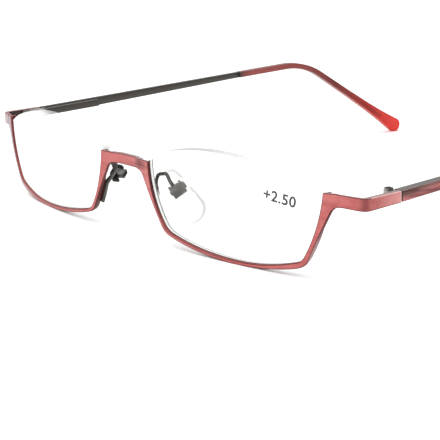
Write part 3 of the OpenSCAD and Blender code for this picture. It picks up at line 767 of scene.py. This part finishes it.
def dressLens(side, recipe):
    sign = sideSigns[side]
    shape = openCopy(side + "_lens")
    soften(shape, recipe["chamfer"], degrees=40, segments=1)
    middle = ballMiddle(sign)
    for face in shape.faces:
        face.material_index = lensMaterial(face, middle, recipe)

    def depth(face, place):
        return limited((ballShape["lensFront"] - (place - middle).length) / recipe["thick"])

    def cover(face, place):
        # The near lens bends the light so that its edge hides the pad arm's foot
        return between(place.z, *recipe["cover"]) if 0 < place.x < recipe["coverReach"] else 0.0

    def fade(face, place):
        # The far lens shows its bare edge only as a pale block beside the nose
        if place.x < 0:
            block = max(between(place.z, *recipe["block"]), recipe["blockShare"])
            return block if place.x > -recipe["blockReach"] else 1.0
        noseEnd = recipe["noseShare"] * between(place.x, *recipe["noseFade"])
        return max(noseEnd, between(place.x, *recipe["fade"]))

    for label, rule in (("depth", depth), ("cover", cover), ("fade", fade)):
        markFaces(shape, label, rule)
    materials = ["lensClear", "lensWall", "lensCrown"]
    finishPiece(
        shape, side + "ClearLens", materials, "front", side + "_lens",
        normalRule=ballNormal(sign),
    )


for side in sideSigns:
    dressLens(side, lensShape)

# Lens power in plain digits, printed on the front of the left lens

digitShape = {
    "words": "+2.50",
    "size": 3.2 * mm,
    "spacing": 1.06,
    "bold": 0.075 * mm,
    "middle": (46.9 * mm, 16.3 * mm),
    "turn": -0.13,
    "proud": 0.02 * mm,
}


def printDigits(recipe):
    curve = bpy.data.curves.new("lensDigits", "FONT")
    curve.body = recipe["words"]
    curve.size = recipe["size"]
    curve.space_character = recipe["spacing"]
    curve.offset = recipe["bold"]
    curve.align_x = "CENTER"
    curve.align_y = "CENTER"
    letters = bpy.data.objects.new("lensDigits", curve)
    flat = bpy.data.meshes.new_from_object(letters)
    bpy.data.objects.remove(letters)
    shape = bmesh.new()
    shape.from_mesh(flat)
    bmesh.ops.subdivide_edges(shape, edges=shape.edges, cuts=1)
    bmesh.ops.rotate(shape, verts=shape.verts, matrix=Matrix.Rotation(recipe["turn"], 3, "Z"))
    middle = ballMiddle(1)
    reach = ballShape["lensFront"] + recipe["proud"]
    for vert in shape.verts:
        x, z = vert.co.x + recipe["middle"][0], vert.co.y + recipe["middle"][1]
        depth = math.sqrt(reach ** 2 - (x - middle.x) ** 2 - (z - middle.z) ** 2)
        vert.co = (x, middle.y - depth, z)
    finishPiece(shape, "lensDigits", ["printInk"], "front", normalRule=ballNormal(1))


printDigits(digitShape)
print("lenses dressed")

# Temples and their tips

templeShape = {
    "edge": 0.12 * mm,
    "tipEdge": 0.45 * mm,
    "start": -57 * mm,
    "sleeve": 11.3 * mm,
    "end": 78.8 * mm,
    "outerTilt": 0.6,
    "paleTilt": 0.3,
    "paleFall": 12,
    "middleAtStart": 18 * mm,
    "middleRise": 0.0656,
    "lowWide": 2.4 * mm,
}
topShape = {"tilt": 0.6, "near": 1.0, "far": 0.35}


def onTop(face, place):
    # Painted light: tops are lighter than the sides, and the far temple's top less so, as it lies in shade
    if face.normal.z <= topShape["tilt"]:
        return 0.0
    return topShape["near"] if place.x > 0 else topShape["far"]


def dressTemple(side, recipe):
    sign = sideSigns[side]
    shape = openCopy(side + "_temple")
    rounds = soften(shape, recipe["edge"])

    def outer(face, place):
        return 1.0 if face.normal.x * sign > recipe["outerTilt"] else 0.0

    def along(face, place):
        return between(place.y, recipe["start"], recipe["sleeve"])

    # Painted highlight on the rounded top and outer edges, fading away from the hinge end
    def pale(face, place):
        edge = face in rounds and min(face.normal.z, face.normal.x * sign) > recipe["paleTilt"]
        return max(1 - recipe["paleFall"] * along(face, place), 0) if edge else 0.0

    def lowness(face, place):
        middle = recipe["middleAtStart"] + (place.y - recipe["start"]) * recipe["middleRise"]
        return limited(0.5 - (place.z - middle) / recipe["lowWide"])

    marks = (("face", outer), ("pale", pale), ("along", along), ("low", lowness), ("top", onTop))
    for label, rule in marks:
        markFaces(shape, label, rule)
    finishPiece(shape, side + "TempleStrip", ["templePaint"], side + "_arm", side + "_temple")


def dressTip(side, recipe):
    node = side + "_temple_tip"
    shape = openCopy(node)
    soften(shape, recipe["tipEdge"], degrees=50, segments=4)

    def along(face, place):
        return between(place.y, recipe["sleeve"], recipe["end"])

    markFaces(shape, "along", along)
    finishPiece(
        shape, side + "TipSleeve", ["tipAcetate"], side + "_arm", node, smoothDegrees=40
    )


for side in sideSigns:
    dressTemple(side, templeShape)
    dressTip(side, templeShape)
print("temples dressed")

# Hinges, pad arms and pads

smallPieces = {
    "hinge_leaf": {"finish": "steel", "body": "front", "edge": 0.05 * mm},
    "hinge_screw": {"finish": "steel", "body": "front", "edge": 0.03 * mm},
    "hinge_slide": {"finish": "steel", "body": "knuckle", "edge": 0.04 * mm},
    "spring_housing": {"finish": "templePaint", "body": "arm", "edge": 0.15 * mm},
    # The right pad's box and screw take the darker steel, as painted shade
    "pad_box": {"finish": "castSteel", "far": "inkSteel", "body": "front", "edge": 0.12 * mm},
    "pad_screw": {"finish": "castSteel", "far": "inkSteel", "body": "front", "edge": 0.05 * mm},
}


def pieceName(side, node):
    return side + "".join(word.capitalize() for word in node.split("_"))


screwShape = {"ring": 0.42 * mm, "headTilt": 0.9, "headDepth": 0.1 * mm}


def markRecess(shape, recipe):
    # Painted shade: the hinge screw's head is dark inside a bright ring
    heads = [f for f in shape.faces if f.normal.z > recipe["headTilt"]]
    top = max(f.calc_center_median().z for f in heads)
    heads = [f for f in heads if f.calc_center_median().z > top - recipe["headDepth"]]
    bmesh.ops.inset_region(shape, faces=heads, thickness=recipe["ring"], depth=0, use_even_offset=True)
    for face in heads:
        face.material_index = 1


def dressSmall(side, node, recipe):
    shape = openCopy(side + "_" + node)
    soften(shape, recipe["edge"], degrees=40)
    if node == "hinge_screw":
        markRecess(shape, screwShape)
    markFaces(shape, "top", onTop)
    body = recipe["body"] if recipe["body"] == "front" else side + "_" + recipe["body"]
    # Painted shade: the right side takes its darker finish
    key = recipe.get("far", recipe["finish"]) if side == "right" else recipe["finish"]
    materials = [key] + (["blackSteel"] if node == "hinge_screw" else [])
    finishPiece(
        shape, pieceName(side, node), materials, body, side + "_" + node, smoothDegrees=35
    )


for side in sideSigns:
    for node, details in smallPieces.items():
        dressSmall(side, node, details)


def paintNode(node, key):
    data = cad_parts[node].data
    data.materials.clear()
    data.materials.append(finishes[key])
    data.shade_smooth()


for side in sideSigns:
    for node in ("pad_arm", "spring_stop", "hinge_spring"):
        paintNode(side + "_" + node, "darkSteel" if node == "pad_arm" else "steel")

insertShape = {"edge": 0.1 * mm, "plateReach": 2.0 * mm}


def dressInsert(side, recipe):
    # A clear plate with a metal boss that sits in the pad box
    node = side + "_pad_insert"
    shape = openCopy(node)
    soften(shape, recipe["edge"], degrees=40)
    low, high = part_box(side + "_pad_box")
    boxMiddle = (Vector(low) + Vector(high)) / 2
    for face in shape.faces:
        near = (face.calc_center_median() - boxMiddle).length < recipe["plateReach"]
        face.material_index = 1 if near else 0
    materials = ["padCore", "castSteel"]
    finishPiece(shape, pieceName(side, "pad_insert"), materials, side + "_pad", node)


for side in sideSigns:
    dressInsert(side, insertShape)

padShape = {
    "edge": 0.45 * mm,
    "steep": 0.55,
    "rimWide": 1.5 * mm,
    # The pad edge's painted light is weaker on the right pad
    "shown": {"left": 0.75, "right": 0.12},  # the right pad shows less
    "towards": Vector((0.58, 0.66, 0.45)),
    "fade": 9 * mm,
    "shownMiddle": 0.6,
    "shownLeast": 0.1,
    "pocketGap": 0.25 * mm,
}


def withinBox(place, box, gap):
    return all(low - gap < value < high + gap for low, value, high in zip(box[0], place, box[1]))


def dressPad(side, recipe):
    shape = openCopy(side + "_nose_pad")
    soften(shape, recipe["edge"], degrees=45, segments=4)
    low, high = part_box(side + "_nose_pad")
    middle = (Vector(low) + Vector(high)) / 2
    axis = max(shape.faces, key=lambda face: face.calc_area()).normal.copy()
    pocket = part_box(side + "_pad_insert")
    walls = [face for face in shape.faces if abs(face.normal.dot(axis)) < recipe["steep"]]
    walls = [face for face in walls if not withinBox(face.calc_center_median(), pocket, recipe["pocketGap"])]
    corners = {vert for face in walls for vert in face.verts}
    outline = [vert.co.copy() for vert in corners]

    def rim(face, place):
        return max(1 - min((place - point).length for point in outline) / recipe["rimWide"], 0)

    def shown(face, place):
        # Painted light: the clear edge's line is stronger on the side away from the nose bridge, where it
        # catches the light
        away = (place - middle).dot(recipe["towards"])
        share = limited(recipe["shownMiddle"] + away / recipe["fade"])
        return recipe["shown"][side] * max(share, recipe["shownLeast"])

    markFaces(shape, "rim", rim)
    markFaces(shape, "shown", shown)
    finishPiece(
        shape, side + "SoftPad", ["padClear"], side + "_pad", side + "_nose_pad",
        smoothDegrees=50,
    )


for side in sideSigns:
    dressPad(side, padShape)
print("fittings dressed")

# Floor and light

stageSetup = {
    "floorSize": 3.0,
    "floor": shade(252, 252, 251),
    "fibreGrain": {"scale": 300, "detail": 4},
    "sky": 1.0,
    "skyStops": [(0.05, 0.4), (0.5, 1.0)],  # grey round the horizon and white above
}


def makeStage(recipe):
    ground = bmesh.new()
    bmesh.ops.create_grid(ground, x_segments=1, y_segments=1, size=recipe["floorSize"] / 2)
    data = bpy.data.meshes.new("floor")
    ground.to_mesh(data)
    ground.free()
    floor = bpy.data.objects.new("floor", data)
    bpy.context.scene.collection.objects.link(floor)
    finish = Finish("floorPaper")
    fibre = finish.grain(**recipe["fibreGrain"])
    data.materials.append(finish.surface(Base_Color=recipe["floor"], Roughness=0.75 + 0.1 * fibre))
    world = bpy.data.worlds.new("sky")
    world.use_nodes = True
    tree = world.node_tree
    where = tree.nodes.new("ShaderNodeTexCoord")
    split = tree.nodes.new("ShaderNodeSeparateXYZ")
    fade = tree.nodes.new("ShaderNodeValToRGB")
    for element, (place, level) in zip(fade.color_ramp.elements, recipe["skyStops"]):
        element.position = place
        element.color = (level, level, level, 1)
    tree.links.new(where.outputs["Generated"], split.inputs[0])
    tree.links.new(split.outputs["Z"], fade.inputs["Fac"])
    tree.links.new(fade.outputs["Color"], tree.nodes["Background"].inputs["Color"])
    tree.nodes["Background"].inputs["Strength"].default_value = recipe["sky"]
    bpy.context.scene.world = world


lamps = [
    {"name": "topLamp", "place": (-0.2, -0.25, 0.9), "size": 0.9, "power": 5.0},
    {"name": "frontLamp", "place": (0.1, -0.9, 0.45), "size": 0.6, "power": 2.4},
]


def makeLamp(recipe):
    data = bpy.data.lights.new(recipe["name"], "AREA")
    data.shape = "SQUARE"
    data.size = recipe["size"]
    data.energy = recipe["power"]
    lamp = bpy.data.objects.new(recipe["name"], data)
    bpy.context.scene.collection.objects.link(lamp)
    place = Vector(recipe["place"])
    aim = (-place).to_track_quat("-Z", "Y").to_matrix().to_4x4()
    lamp.matrix_world = Matrix.Translation(place) @ aim


makeStage(stageSetup)
for lamp in lamps:
    makeLamp(lamp)
print("stage set")

bpy.context.view_layer.update()
